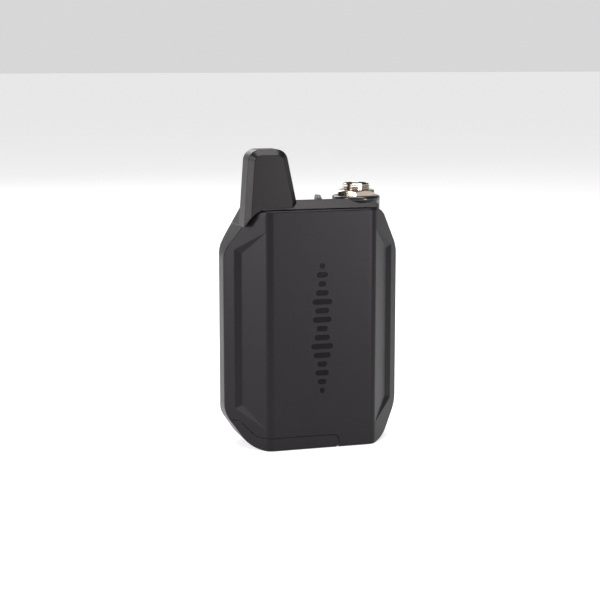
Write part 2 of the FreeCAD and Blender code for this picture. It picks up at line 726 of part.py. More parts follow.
tray_windows = [box(x - 1.2, x + 1.2, contact_depth - 2, contact_depth + 2, tray_top - 1, tray_top + 3)
                for x in pad_spots]
save("battery_tray", cut(tray, tray_room, *tray_windows))
block_high = tray_top + tray_wall + 4
block = box(pad_spots[0] - 2.4, pad_spots[3] + 1.9, contact_depth - 3, contact_depth + 3,
            tray_top + tray_wall, block_high)
block_slots = [box(x - 0.8, x + 0.8, contact_depth - 1.5, contact_depth + 1.5, tray_top, block_high - 0.8)
               for x in pad_spots]
save("contact_block", cut(block, *block_slots))
save("battery_contacts", Part.makeCompound([box(x - 0.6, x + 0.6, contact_depth - 1.3, contact_depth + 1.3,
                                                battery_high + pad_rise, block_high - 0.8)
                                            for x in pad_spots]))

# ---- battery door on its hinge

hinge_x = door_right - door_gap / 2 - hinge_radius
hinge_z = hinge_radius
knuckle_low = 8.2
knuckle_high = 14.8
door_knuckles = [(3.4, knuckle_low - knuckle_gap), (knuckle_high + knuckle_gap, body_depth - 3.4)]


def battery_door():
    shell = outer_skin.common(door_region(-door_gap / 2)).cut(cover_hollow)
    ribs = [box(battery_left + 2, hinge_x - 3, d, d + 1.2, wall / 2, door_lip) for d in (7.0, 17.5)]
    shell = join(shell, *[rib.common(outer_skin) for rib in ribs])
    corner = box(hinge_x, door_right + 1, -1, body_depth + 1, -1, hinge_z)
    shell = shell.cut(corner.cut(rod_y(hinge_x, hinge_z, hinge_radius, -2, body_depth + 2)))
    shell = shell.cut(rod_y(hinge_x, hinge_z, hinge_radius + knuckle_gap, knuckle_low - knuckle_gap,
                            knuckle_high + knuckle_gap))
    shell = shell.cut(box(hinge_x, door_right + 1, knuckle_low - knuckle_gap, knuckle_high + knuckle_gap,
                          -1, hinge_z + hinge_radius + 1))
    shell = join(shell, *[rod_y(hinge_x, hinge_z, hinge_radius, low, high) for low, high in door_knuckles])
    bore = rod_y(hinge_x, hinge_z, hinge_pin_radius + hinge_clearance, 2.8, body_depth - 2.8)
    return shell.cut(bore)


save("battery_door", battery_door())
save("door_pad", box(battery_left + 4, hinge_x - 5, 9.4, 16.4, wall, battery_low - 0.5))
save("door_hinge_pin", rod_y(hinge_x, hinge_z, hinge_pin_radius, 3.0, body_depth - 3.0))
knuckle = join(rod_y(hinge_x, hinge_z, hinge_radius, knuckle_low, knuckle_high),
               box(hinge_x, door_right + 1.4, knuckle_low, knuckle_high, wall + 0.05, hinge_z + hinge_radius),
               box(door_right + 0.4, door_right + 8, knuckle_low - 3, knuckle_high + 3, wall + 0.05,
                   hinge_z + hinge_radius))
save("door_hinge_block", knuckle.cut(rod_y(hinge_x, hinge_z, hinge_pin_radius + 0.01, 2, body_depth)))

# ---- belt clip on the back

base_thickness = 0.9
barrel_clearance = 0.15
clip_pivot_depth = body_depth + base_thickness + barrel_clearance + clip_barrel_radius
clip_inner = body_depth + clip_gap
clip_outer = clip_inner + clip_thickness
barrel_half = 5.0
ear_gap = 0.2
ear_width = 2.0
ear_outer = barrel_half + ear_gap + ear_width
coil_half = 1.6
coil_wire = 0.32           # radius of the spring's wire
coil_gap = 0.12            # between the pin and the spring
coil_radius = clip_pivot_radius + coil_gap + 2 * coil_wire
coil_clearance = 0.09
ear_radius = clip_inner - clip_pivot_depth - barrel_clearance


def clip_bracket():
    base = box(-ear_outer - 1, ear_outer + 1, body_depth, body_depth + base_thickness, clip_pivot_z - 8.4,
               clip_pivot_z + 8.0)
    pieces = [base]
    for side in (-1, 1):
        low, high = sorted((side * (barrel_half + ear_gap), side * ear_outer))
        pieces.append(rod_x(clip_pivot_depth, clip_pivot_z, ear_radius, low, high))
        pieces.append(box(low, high, body_depth, clip_pivot_depth, clip_pivot_z - ear_radius,
                          clip_pivot_z + ear_radius))
    bracket = join(*pieces)
    holes = [rod_y(0, z, screw_radius, body_depth - 1, body_depth + 2) for z in clip_screw_z]
    return cut(bracket, rod_x(clip_pivot_depth, clip_pivot_z, clip_pivot_radius + 0.01, -20, 20), *holes)


def belt_clip():
    tip = 1.6
    high = clip_pivot_z + 8.5
    wide = clip_width / 2
    neck = wide * 0.62
    face = [(-wide * 0.8, clip_low, 4), (wide * 0.8, clip_low, 4), (wide, clip_low + 20, 30),
            (neck, high, 3), (-neck, high, 3), (-wide, clip_low + 20, 30)]
    plate = prism_xz(face, clip_inner - tip, clip_outer)
    side = [(clip_inner - tip, clip_low, 0.4), (clip_outer, clip_low, 0.8), (clip_outer, high, 1.2),
            (clip_inner, high, 0.3), (clip_inner, clip_low + 6, 2.5), (clip_inner - tip, clip_low + 2, 1.0)]
    plate = plate.common(prism_dz(side, -wide - 1, wide + 1))
    hub = rod_x(clip_pivot_depth, clip_pivot_z, clip_barrel_radius, -barrel_half, barrel_half)
    web = box(-barrel_half, barrel_half, clip_pivot_depth, clip_inner + 0.2,
              clip_pivot_z - clip_barrel_radius, clip_pivot_z + clip_barrel_radius)
    coil_room = rod_x(clip_pivot_depth, clip_pivot_z, coil_radius + coil_clearance, -coil_half, coil_half)
    body = cut(join(plate, hub, web), coil_room)
    return body.cut(rod_x(clip_pivot_depth, clip_pivot_z, clip_pivot_radius + hinge_clearance, -20, 20))


def clip_spring():
    """A torsion coil of round wire around the pin, as touching rings."""
    ring_radius = coil_radius - coil_wire
    pitch = 1.8 * coil_wire
    end_gap = 0.1 + coil_wire
    rings = []
    count = int(2 * (coil_half - end_gap) / pitch) + 1
    for ring in range(count):
        middle = at(-coil_half + end_gap + ring * pitch, clip_pivot_depth, clip_pivot_z)
        rings.append(Part.makeTorus(ring_radius, coil_wire, middle, Vector(1, 0, 0)))
    return join(*rings)


save("clip_bracket", clip_bracket())
save("belt_clip", belt_clip())
save("clip_pin", rod_x(clip_pivot_depth, clip_pivot_z, clip_pivot_radius, -ear_outer, ear_outer))
save("clip_spring", clip_spring())
save("clip_screws", Part.makeCompound([machine_screw(0, z, screw_radius, screw_head_radius, 0.9,
                                                     inner_depth - 2, body_depth + base_thickness)
                                       for z in clip_screw_z]))

for name, shape in nodes.items():
    shape.exportStep(f"parts/{name}.step")
    print(name, shape.isValid(), len(shape.Solids), round(shape.Volume, 1))
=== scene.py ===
# %% [markdown]
# # A wireless bodypack transmitter
# The casing of this little radio is a cast shell with a satin black powder coat. Its antenna tower
# and top cap are moulded plastic, and a nickel jack stands beside a small slide switch. The shapes
# come from a packed engineering model, so this lesson is about finishes, light and small printed
# and moulded details.

# %% Load the model that everything is built around
import json
import math

import bmesh
import bpy
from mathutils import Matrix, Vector


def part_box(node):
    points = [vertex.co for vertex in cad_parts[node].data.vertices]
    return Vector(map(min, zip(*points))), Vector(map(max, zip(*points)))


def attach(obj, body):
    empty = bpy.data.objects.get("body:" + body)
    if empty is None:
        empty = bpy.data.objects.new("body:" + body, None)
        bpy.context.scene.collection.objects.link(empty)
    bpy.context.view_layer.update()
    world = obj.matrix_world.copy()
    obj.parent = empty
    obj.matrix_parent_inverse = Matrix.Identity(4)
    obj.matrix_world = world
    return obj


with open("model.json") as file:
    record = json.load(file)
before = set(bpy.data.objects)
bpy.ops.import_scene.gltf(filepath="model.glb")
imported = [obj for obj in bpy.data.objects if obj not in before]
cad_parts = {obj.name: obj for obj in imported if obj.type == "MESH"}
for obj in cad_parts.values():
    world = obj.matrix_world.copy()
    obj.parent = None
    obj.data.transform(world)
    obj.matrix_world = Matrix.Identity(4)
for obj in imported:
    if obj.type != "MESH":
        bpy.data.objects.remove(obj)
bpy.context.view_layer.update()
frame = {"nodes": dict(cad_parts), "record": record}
nodes = frame["nodes"]
scene = bpy.context.scene
MM = 0.001

# %% [markdown]
# Positions are taken from the nodes' own boxes. That keeps each added detail on its part even if
# the part's size is changed later, where typed coordinates would be left behind.

# %% Places that the rest of the lesson measures from
cover_low, cover_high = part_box("front_cover")
cap_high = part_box("top_cap")[1]
housing_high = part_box("back_housing")[1]
front_y = cover_low.y
back_y = housing_high.y
print("casing, mm:", round((cover_high.x - cover_low.x) / MM, 1), "wide,",
      round((back_y - front_y) / MM, 1), "deep,", round((cap_high.z - cover_low.z) / MM, 1), "high")

# %% [markdown]
# ## The camera
# The view is a product view from a little left of the front and a little above. A long lens is the
# right one for a small object, because it keeps the upright edges nearly parallel. The camera is
# placed by an angle round the object and a height above the horizon, which is easier to think
# about than three coordinates. The lights further on are placed by the same function.

# %% Put the camera on a sphere around the casing
VIEW_AROUND = -16.85
VIEW_ABOVE = 9.2
VIEW_DISTANCE = 0.540
VIEW_LENS = 90.3
SENSOR_WIDTH = 36.0
TARGET_ACROSS = 27.75 * MM
TARGET_UP = 52.2 * MM
view_target = Vector((cover_low.x + TARGET_ACROSS, (front_y + back_y) / 2,
                      cover_low.z + TARGET_UP))


def stand_around(name, data, around, above, distance):
    """Place an object around the casing, at two angles in degrees, facing its middle."""
    a, e = math.radians(around), math.radians(above)
    way = Vector((math.sin(a) * math.cos(e), -math.cos(a) * math.cos(e), math.sin(e)))
    holder = bpy.data.objects.new(name, data)
    holder.location = view_target + way * distance
    holder.rotation_euler = (-way).to_track_quat("-Z", "Y").to_euler()
    scene.collection.objects.link(holder)
    return holder


camera = stand_around("camera", bpy.data.cameras.new("camera"), VIEW_AROUND, VIEW_ABOVE,
                      VIEW_DISTANCE)
camera.data.lens = VIEW_LENS
camera.data.sensor_width = SENSOR_WIDTH
bpy.context.scene.camera = camera
print("camera stands", VIEW_DISTANCE, "m away with a", VIEW_LENS, "mm lens")

# %% [markdown]
# ## Light
# Satin black shows almost nothing but reflections. So the lights are large soft panels, and their
# places decide where the casing looks grey and where it looks black: two on the left light the
# left wing, a low one and a high one in front light the flat panel, one overhead draws the upper
# edges, and one behind parts the casing from its background. The alternative, a bright sky all
# round, would wash the facets into one grey.

# %% Make the soft panels
# Each row: name, angle around and above in degrees, distance, width and height in metres, watts.
PANELS = (
    ("left_panel", -80, 3, 0.9, 0.20, 0.30, 3.0),
    ("left_high_panel", -66, 28, 0.9, 0.22, 0.30, 3.4),
    ("front_low_panel", 27, 0, 0.9, 0.24, 0.12, 2.2),
    ("front_high_panel", 8, 26, 0.9, 0.30, 0.24, 0.6),
    ("top_panel", 0, 84, 0.9, 0.7, 0.7, 12.0),
    ("back_panel", 190, 35, 1.0, 0.6, 0.5, 5.0),
)
for name, around, above, distance, width, height, power in PANELS:
    light = bpy.data.lights.new(name, "AREA")
    light.shape = "RECTANGLE"
    light.size = width
    light.size_y = height
    light.energy = power
    stand_around(name, light, around, above, distance)
print("soft panels:", ", ".join(row[0] for row in PANELS))

# %% [markdown]
# ## Writing shader maths as plain sums
# A finish is a small formula over the surface. Wiring its nodes by hand hides the formula, so this
# class wraps a socket and lets Python's own operators add the nodes: `mask * 0.5 + 0.2` makes one
# Multiply and one Add. Every other node comes from one method, which takes the node's type, its
# settings, and the values or links of its sockets.

# %% A socket that understands + - *
class Sum:
    """One output socket of a node tree, with arithmetic."""

    def __init__(self, tree, socket):
        self.tree = tree
        self.socket = socket

    @classmethod
    def node(cls, tree, kind, settings, sockets, output=0):
        """Add a node, set its settings, then fill its sockets. Gives one of its outputs."""
        made = tree.nodes.new(kind)
        for name, value in settings.items():
            setattr(made, name, value)
        for key, value in sockets.items():
            plug(tree, made.inputs[key], value)
        return cls(tree, made.outputs[output])

    def maths(self, operation, first, second):
        return self.node(self.tree, "ShaderNodeMath", {"operation": operation},
                         {0: first, 1: second})

    def __add__(self, other):
        return self.maths("ADD", self, other)

    def __sub__(self, other):
        return self.maths("SUBTRACT", self, other)

    def __rsub__(self, other):
        return self.maths("SUBTRACT", other, self)

    def __mul__(self, other):
        return self.maths("MULTIPLY", self, other)

    __radd__ = __add__
    __rmul__ = __mul__

    def band(self, low, high, before=0.0, after=1.0):
        """One value below low, another above high, and a smooth change between."""
        return self.node(self.tree, "ShaderNodeMapRange", {"interpolation_type": "SMOOTHSTEP"},
                         {"Value": self, "From Min": low, "From Max": high,
                          "To Min": before, "To Max": after}, "Result")


def plug(tree, socket, value):
    """Join a Sum to a socket, or write a plain value on it."""
    if isinstance(value, Sum):
        tree.links.new(value.socket, socket)
    else:
        socket.default_value = value


def write(tree, shader, **values):
    """Fill a shader's sockets by name, with _ for a space."""
    for name, value in values.items():
        plug(tree, shader.inputs[name.replace("_", " ")], value)


print("sums ready")

# %% [markdown]
# ## The world and the floor
# The world around is a pale band along the horizon that fades to dark grey overhead, so that the
# black casing still has something dark to reflect. Colours are shown without a film curve, so that
# white stays white.

# %% World and colour display
BAND_TOP = 0.16
BAND_END = BAND_TOP * 2.5
BAND_WHITE = 0.68
SKY_GREY = 0.10
WHITE = (1.0, 1.0, 1.0, 1.0)
scene.view_settings.view_transform = "Standard"
world = bpy.data.worlds.new("studio")
scene.world = world
world.use_nodes = True
sky = world.node_tree
direction = Sum.node(sky, "ShaderNodeTexCoord", {}, {}, "Generated")
upward = Sum.node(sky, "ShaderNodeSeparateXYZ", {}, {0: direction}, "Z")
write(sky, sky.nodes["Background"], Color=WHITE,
      Strength=upward.band(BAND_TOP, BAND_END, BAND_WHITE, SKY_GREY))
print("the sky goes from", BAND_WHITE, "at the horizon to", SKY_GREY, "overhead")

# %% [markdown]
# The floor is a plain pale sheet that glows a little, which keeps it even to its edges. It reaches
# so far that its edge is never seen, and it lies a hair under the casing, because two faces at the
# same height would flicker through each other.

# %% The floor
FLOOR_HALF = 12.0
FLOOR_DROP = 0.05 * MM
FLOOR_GLOW = 0.72
FLOOR_TONE = (0.42, 0.42, 0.42, 1.0)
FLOOR_ROUGH = 0.9
floor_mesh = bpy.data.meshes.new("floor")
floor_mesh.from_pydata([(-FLOOR_HALF, -FLOOR_HALF, 0), (FLOOR_HALF, -FLOOR_HALF, 0),
                        (FLOOR_HALF, FLOOR_HALF, 0), (-FLOOR_HALF, FLOOR_HALF, 0)],
                       [], [(0, 1, 2, 3)])
floor = bpy.data.objects.new("floor", floor_mesh)
floor.location.z = cover_low.z - FLOOR_DROP
scene.collection.objects.link(floor)
sheet_white = bpy.data.materials.new("white_sheet")
sheet_white.use_nodes = True
write(sheet_white.node_tree, sheet_white.node_tree.nodes["Principled BSDF"],
      Base_Color=FLOOR_TONE, Roughness=FLOOR_ROUGH, Emission_Color=WHITE,
      Emission_Strength=FLOOR_GLOW)
floor_mesh.materials.append(sheet_white)
print("floor lies at z =", round(floor.location.z, 5))

# %% [markdown]
# ## Starting a finish
# Every finish starts the same way: a Principled shader, and the place on the part in metres. Object
# coordinates give that place here, because each part's own origin is the model's origin. So grain
# keeps its real size on every part, and nothing depends on an unwrapped texture.

# %% Helpers that every finish uses
BEVEL_SAMPLES = 6
NOISE_MIDDLE = 0.5
SMEAR_BAND = (0.3, 0.8)


class Finish:
    """A material being written: its tree, its shader and the place on the surface."""

    def __init__(self, name, colour, roughness, metallic=0.0):
        self.material = bpy.data.materials.new(name)
        self.material.use_nodes = True
        self.tree = self.material.node_tree
        self.shader = self.tree.nodes["Principled BSDF"]
        self.place = self.node("ShaderNodeTexCoord", {}, {}, "Object")
        self.set(Base_Color=opaque(colour), Roughness=roughness, Metallic=metallic)

    def node(self, kind, settings, sockets, output=0):
        return Sum.node(self.tree, kind, settings, sockets, output)

    def set(self, **values):
        write(self.tree, self.shader, **values)

    def noise(self, size, detail=2.0, stretch=None):
        """Soft random grain with features of about the given size, 0 to 1."""
        place = self.place
        if stretch:
            place = self.node("ShaderNodeVectorMath", {"operation": "MULTIPLY"},
                              {0: place, 1: stretch}, "Vector")
        return self.node("ShaderNodeTexNoise", {},
                         {"Vector": place, "Scale": 1 / size, "Detail": detail}, "Fac")

    def mix(self, amount, first, second):
        """A colour that goes from first to second as amount goes from 0 to 1."""
        return self.node("ShaderNodeMix", {"data_type": "RGBA"},
                         {"Factor": amount, 6: opaque(first), 7: opaque(second)}, 2)

    def relief(self, height, distance, strength, under=None):
        """Raise the surface's shading by a height, over another normal if one is given."""
        sockets = {"Height": height, "Strength": strength, "Distance": distance}
        if under:
            sockets["Normal"] = under
        self.set(Normal=self.node("ShaderNodeBump", {}, sockets, "Normal"))

    def soft_relief(self, radius, height, distance, strength):
        """Round the shading of edges, then lay a fine relief over it."""
        rounded = self.node("ShaderNodeBevel", {"samples": BEVEL_SAMPLES}, {"Radius": radius},
                            "Normal")
        self.relief(height, distance, strength, rounded)

    def smeared(self, roughness, size, amount):
        """A gloss with duller patches, as handling leaves on it."""
        return roughness + self.noise(size).band(*SMEAR_BAND) * amount


def opaque(colour):
    return tuple(colour) + (1.0,)


def shade(colour, factor):
    return tuple(min(1.0, channel * factor) for channel in colour)


print("finish helper ready")

# %% [markdown]
# ## The finishes of the casing
# Powder coat is a paint that flows as it melts, so its skin keeps a fine pebbled texture and every
# edge catches a soft line of light. The pebbles are a real height from noise of two sizes, and the
# same noise moves the roughness a little. A plain roughness would give the same grey with no grain
# at all. A Bevel node rounds the shading of sharp edges by a fraction of a millimetre, as thick
# paint does.

# %% Satin black powder coat
PAINT_SHINE = 0.19
PAINT_TINT = (1.0, 0.925, 0.975, 1.0)
PAINT_EDGE = 0.42 * MM
PAINT_RELIEF = 0.28
COARSE_TIMES = 3
COARSE_SHARE = 0.6
PEBBLE_MIDDLE = 0.8
PEBBLE_ROUGH = 0.06
CLOUD_SIZE = 9 * MM
CLOUD_LIFT = 1.4
CLOUD_ROUGH = 0.06


def powder_coat(name, colour, roughness, grain, depth):
    coat = Finish(name, colour, roughness)
    pebbles = coat.noise(grain, 2) + coat.noise(grain * COARSE_TIMES) * COARSE_SHARE
    cloudy = coat.noise(CLOUD_SIZE, 3)
    uneven = ((cloudy - NOISE_MIDDLE) * CLOUD_ROUGH
              + (pebbles - PEBBLE_MIDDLE) * PEBBLE_ROUGH)
    coat.set(Base_Color=coat.mix(cloudy, colour, shade(colour, CLOUD_LIFT)),
             Roughness=roughness + uneven, Specular_IOR_Level=PAINT_SHINE,
             Specular_Tint=PAINT_TINT)
    coat.soft_relief(PAINT_EDGE, pebbles, depth, PAINT_RELIEF)
    return coat.material


SHELL_BLACK = (0.0050, 0.0046, 0.0054)
CAP_BLACK = (0.0056, 0.0051, 0.0054)
CLIP_BLACK = shade(SHELL_BLACK, 0.85)
shell_paint = powder_coat("satin_powder_coat", SHELL_BLACK, 0.35, 0.30 * MM, 0.016 * MM)
cap_plastic = powder_coat("moulded_cap_plastic", CAP_BLACK, 0.32, 0.16 * MM, 0.010 * MM)
clip_paint = powder_coat("painted_clip", CLIP_BLACK, 0.34, 0.24 * MM, 0.015 * MM)
print("black finishes:", shell_paint.name, cap_plastic.name, clip_paint.name)

# %% [markdown]
# Plated nickel keeps the fine marks of the lathe. The marks run round the jack, so the noise is
# squashed along Z: features become long round the barrel and short along it. A little warm tint
# separates nickel from chrome. The flat metals inside are rolled, so their marks run along one
# axis, and the same function stretches them that way.

# %% Metals
DULL_SIZE = 2.2 * MM
DULL_BAND = (0.35, 0.75)
DULL_SHARE = 0.5
DULL_SHADE = 0.82
MARK_ROUGH = 0.08
MARK_DEPTH = 0.004 * MM
MARK_RELIEF = 0.15
ROUND_Z = (1, 1, 14)


def turned_metal(name, colour, roughness, mark, stretch=ROUND_Z, wear=0.12, rounding=0.10 * MM):
    metal = Finish(name, colour, roughness, 1.0)
    marks = metal.noise(mark, 3, stretch)
    dull = metal.noise(DULL_SIZE, 3).band(*DULL_BAND)
    metal.set(Base_Color=metal.mix(dull * DULL_SHARE, colour, shade(colour, DULL_SHADE)),
              Roughness=roughness + dull * wear + (marks - NOISE_MIDDLE) * MARK_ROUGH)
    metal.soft_relief(rounding, marks, MARK_DEPTH, MARK_RELIEF)
    return metal.material


NICKEL = (0.40, 0.345, 0.295)
nickel = turned_metal("turned_nickel", NICKEL, 0.17, 1.1 * MM, wear=0.06, rounding=0.02 * MM)
gold = turned_metal("gold_plating", (0.86, 0.60, 0.24), 0.24, 0.6 * MM, (1, 1, 1))
tin = turned_metal("tinned_plate", (0.62, 0.62, 0.63), 0.30, 1.6 * MM, (1, 12, 1))
steel = turned_metal("bright_steel", (0.48, 0.48, 0.49), 0.28, 0.9 * MM, (12, 1, 1))
black_steel = turned_metal("black_oxide_steel", (0.07, 0.07, 0.075), 0.36, 0.9 * MM, (1, 1, 12))
print("metals:", nickel.name, gold.name, tin.name, steel.name, black_steel.name)

# %% [markdown]
# The moulded parts inside and the small ones outside are plain plastics. They differ in tone, in
# how rough the mould was and in how evenly the colour flowed, so one function with a few inputs
# covers them all.

# %% Moulded plastics and foam
FLOW_SIZE = 4 * MM
FLOW_STRETCH = (1, 1, 0.4)
MOULD_ROUGH = 0.16
MOULD_EDGE = 0.12 * MM
MOULD_RELIEF = 0.4


def moulded(name, colour, roughness, grain=0.2 * MM, depth=0.01 * MM, spread=1.3):
    plastic = Finish(name, colour, roughness)
    texture = plastic.noise(grain, 3)
    flow = plastic.noise(FLOW_SIZE, 2, FLOW_STRETCH)
    plastic.set(Base_Color=plastic.mix(flow, shade(colour, 1 / spread), shade(colour, spread)),
                Roughness=roughness + (texture - NOISE_MIDDLE) * MOULD_ROUGH)
    plastic.soft_relief(MOULD_EDGE, texture, depth, MOULD_RELIEF)
    return plastic.material


KNOB_GREY = (0.235, 0.232, 0.228)
FILM_GREY = (0.045, 0.048, 0.055)
insulator = moulded("black_insulator", (0.013, 0.013, 0.014), 0.38)
chip_resin = moulded("chip_resin", (0.022, 0.022, 0.023), 0.55, 0.1 * MM)
tray_nylon = moulded("tray_nylon", (0.035, 0.035, 0.037), 0.5, 0.3 * MM, 0.02 * MM)
knob_grey = moulded("grey_knob_plastic", KNOB_GREY, 0.34, 0.15 * MM, 0.006 * MM, 1.08)
battery_film = moulded("battery_film", FILM_GREY, 0.26, 1.5 * MM, 0.02 * MM, 1.15)
foam = moulded("closed_cell_foam", (0.045, 0.045, 0.047), 0.85, 0.35 * MM, 0.12 * MM, 1.5)
print("plastics:", insulator.name, tray_nylon.name, knob_grey.name, foam.name)

# %% [markdown]
# A circuit board is green glass fibre under a glossy mask. Its copper tracks stand up a hair under
# the mask and look a lighter green, so a pattern of wavering lines drives both the colour and the
# bump, and a patchy mask breaks the lines off as real tracks end.

# %% Circuit board
MASK_GREEN = (0.012, 0.075, 0.032)
TRACK_GREEN = (0.03, 0.16, 0.06)
TRACK_PITCH = 9 * MM
TRACK_SHARE = 0.4
TRACK_SOFT = 0.6
TRACK_WAVER = 3.0
PATCH_SIZE = 5 * MM
PATCH_BAND = (0.48, 0.52)
MASK_ROUGH = 0.22
TRACK_ROUGH = 0.1
TRACK_RAISED = 0.03 * MM
TRACK_RELIEF = 0.6
board = Finish("green_board", MASK_GREEN, MASK_ROUGH)
lines = board.node("ShaderNodeTexWave", {"wave_type": "BANDS", "bands_direction": "X"},
                   {"Vector": board.place, "Scale": 1 / TRACK_PITCH,
                    "Distortion": TRACK_WAVER, "Detail": 1.0}, "Fac")
tracks = (lines.band(1 - TRACK_SHARE, 1 - TRACK_SHARE * TRACK_SOFT)
          * board.noise(PATCH_SIZE, 1).band(*PATCH_BAND))
board.set(Base_Color=board.mix(tracks, MASK_GREEN, TRACK_GREEN),
          Roughness=MASK_ROUGH + tracks * TRACK_ROUGH)
board.relief(tracks, TRACK_RAISED, TRACK_RELIEF)
print("board:", board.material.name)

# %% [markdown]
# The lamp's lens is clear resin. It lets three quarters of the light through and bends it like
# acrylic. An emitting surface would look lit, and this lamp is off.

# %% Lamp lens
LENS_CLEAR = 0.75
LENS_BEND = 1.49
LENS_TINT = (0.86, 0.9, 0.86)
LENS_ROUGH = 0.10
LENS_UNEVEN = 0.08
LENS_GRAIN = 0.5 * MM
lens = Finish("clear_lens", LENS_TINT, LENS_ROUGH)
lens.set(Transmission_Weight=LENS_CLEAR, IOR=LENS_BEND,
         Roughness=LENS_ROUGH + lens.noise(LENS_GRAIN) * LENS_UNEVEN)
print("lens:", lens.material.name)

# %% [markdown]
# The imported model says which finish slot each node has. A table from slot to material then paints
# all of them in one loop, and a new node needs no new code.

# %% Paint the engineering parts
slot_finish = {
    "painted_shell": shell_paint, "cap_plastic": cap_plastic, "clip_steel": clip_paint,
    "nickel": nickel, "gold_contact": gold, "tin_plate": tin, "steel": steel,
    "steel_black": black_steel, "black_insulator": insulator, "chip_black": chip_resin,
    "tray_plastic": tray_nylon, "knob_grey": knob_grey, "battery_wrap": battery_film,
    "foam": foam, "circuit_board": board.material, "lens": lens.material,
}
for part in frame["record"]["subparts"]:
    mesh = nodes[part["node"]].data
    mesh.materials.clear()
    mesh.materials.append(slot_finish[part["material_slot"]])

# %% [markdown]
# ## Printed level bars on the front
# Such a casing carries a glossy printed mark down its front panel. Here the mark is a plain
# picture of a sound level: a column of rounded bars of changing length. Each bar is a thin raised
# piece with its own rounded outline, so it has a real edge that catches the light. The other way,
# a mask in the paint, would lose that edge.

# %% A flat piece with rounded corners
ARC_STEPS = 8
RIM_SHARE = 0.4


def rounded_outline(width, height, radius):
    """Points round a rectangle with rounded corners, with its middle at 0, 0."""
    points = []
    for corner in range(4):
        turn = math.pi / 2 * corner
        x = (width / 2 - radius) * (1 if corner in (0, 3) else -1)
        z = (height / 2 - radius) * (1 if corner in (0, 1) else -1)
        for step in range(ARC_STEPS + 1):
            angle = turn + math.pi / 2 * step / ARC_STEPS
            points.append((x + radius * math.cos(angle), z + radius * math.sin(angle)))
    return points


def add_slab(bm, outline, thick, place):
    """Extrude an outline by thick, with its outer face drawn in so that its rim is soft.

    place(x, depth, z) says where a point of the outline lies at a depth."""
    lip = thick * RIM_SHARE
    reach_x = max(x for x, z in outline)
    reach_z = max(z for x, z in outline)
    rings = []
    for depth, inset in ((0, 0), (thick - lip, 0), (thick, lip)):
        scale_x = (reach_x - inset) / reach_x
        scale_z = (reach_z - inset) / reach_z
        rings.append([bm.verts.new(place(x * scale_x, depth, z * scale_z)) for x, z in outline])
    for lower, upper in zip(rings, rings[1:]):
        for index in range(len(outline)):
            following = (index + 1) % len(outline)
            bm.faces.new((lower[index], lower[following], upper[following], upper[index]))
    bm.faces.new(rings[0])
    bm.faces.new(rings[-1])


def make_piece(name, mesh_data, material, body):
    """Turn a bmesh into a finished piece that rides on a body."""
    mesh = bpy.data.meshes.new(name)
    bmesh.ops.recalc_face_normals(mesh_data, faces=mesh_data.faces)
    mesh_data.to_mesh(mesh)
    mesh_data.free()
    mesh.materials.append(material)
    piece = bpy.data.objects.new(name, mesh)
    scene.collection.objects.link(piece)
    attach(piece, body)
    return piece


print("outline helper gives", len(rounded_outline(8, 2, 1)), "points")

# %% [markdown]
# The bars' widths are a short list of shares of the widest bar, so the pattern is easy to change.
# The ink is blacker and smoother than the paint round it, and it reflects less, so the bars read
# as a darker print. A slight waviness keeps it from looking like glass.

# %% Ink and bars
PRINT_LOW = 19.6 * MM
PRINT_HIGH = 67.5 * MM
PRINT_WIDEST = 8.0 * MM
PRINT_THICK = 0.05 * MM
BAR_SHARES = (0.22, 0.40, 0.62, 0.46, 0.78, 1.0, 0.70, 0.52, 0.86, 0.64, 0.92, 0.58, 0.36, 0.5,
              0.26)
BAR_FILL = 0.62
BAR_ROUND = 0.49
INK_BLACK = (0.0025, 0.0025, 0.0028)
INK_ROUGH = 0.17
INK_SHINE = 0.10
INK_WAVES = 0.5 * MM
INK_DEPTH = 0.004 * MM
INK_RELIEF = 0.3
ink = Finish("glossy_print", INK_BLACK, INK_ROUGH)
ink.set(Roughness=ink.smeared(INK_ROUGH, 0.7 * MM, 0.10), Specular_IOR_Level=INK_SHINE)
ink.relief(ink.noise(INK_WAVES, 2), INK_DEPTH, INK_RELIEF)

bar_pitch = (PRINT_HIGH - PRINT_LOW) / len(BAR_SHARES)
bar_height = bar_pitch * BAR_FILL
bars = bmesh.new()
for index, share in enumerate(BAR_SHARES):
    middle = cover_low.z + PRINT_LOW + bar_pitch * (index + 0.5)
    width = PRINT_WIDEST * share
    outline = rounded_outline(width, bar_height, min(bar_height, width) * BAR_ROUND)
    add_slab(bars, outline, PRINT_THICK, lambda x, depth, z: (x, front_y - depth, middle + z))
make_piece("level_print", bars, ink.material, "root")
print("printed", len(BAR_SHARES), "bars over", round((PRINT_HIGH - PRINT_LOW) / MM, 1), "mm")

# %% [markdown]
# ## Small mouldings round the controls
# The jack stands in a glossy collar with a rolled top edge. A turned shape is a profile spun round
# an axis, so one function spins any list of radius and height, and it does for the ribs further on
# too.

# %% Spin a profile into a round piece
def spin(bm, profile, centre, steps, axis="Z", closed=True):
    """Turn (radius, height) points round an axis through centre."""
    rings = []
    for step in range(steps):
        angle = 2 * math.pi * step / steps
        a, b = math.cos(angle), math.sin(angle)
        ring = []
        for radius, height in profile:
            offset = {"Z": (radius * a, radius * b, height),
                      "Y": (radius * a, height, radius * b)}[axis]
            ring.append(bm.verts.new(centre + Vector(offset)))
        rings.append(ring)
    count = len(profile)
    for step in range(steps):
        here, following = rings[step], rings[(step + 1) % steps]
        for index in range(count if closed else count - 1):
            after = (index + 1) % count
            bm.faces.new((here[index], following[index], following[after], here[after]))


def arc(centre_r, centre_h, radius, start, end, steps=6):
    """Profile points along an arc, with angles in degrees."""
    points = []
    for step in range(steps + 1):
        angle = math.radians(start + (end - start) * step / steps)
        points.append((centre_r + radius * math.cos(angle), centre_h + radius * math.sin(angle)))
    return points


print("arc helper gives", len(arc(0, 0, 1, 0, 90)), "points")

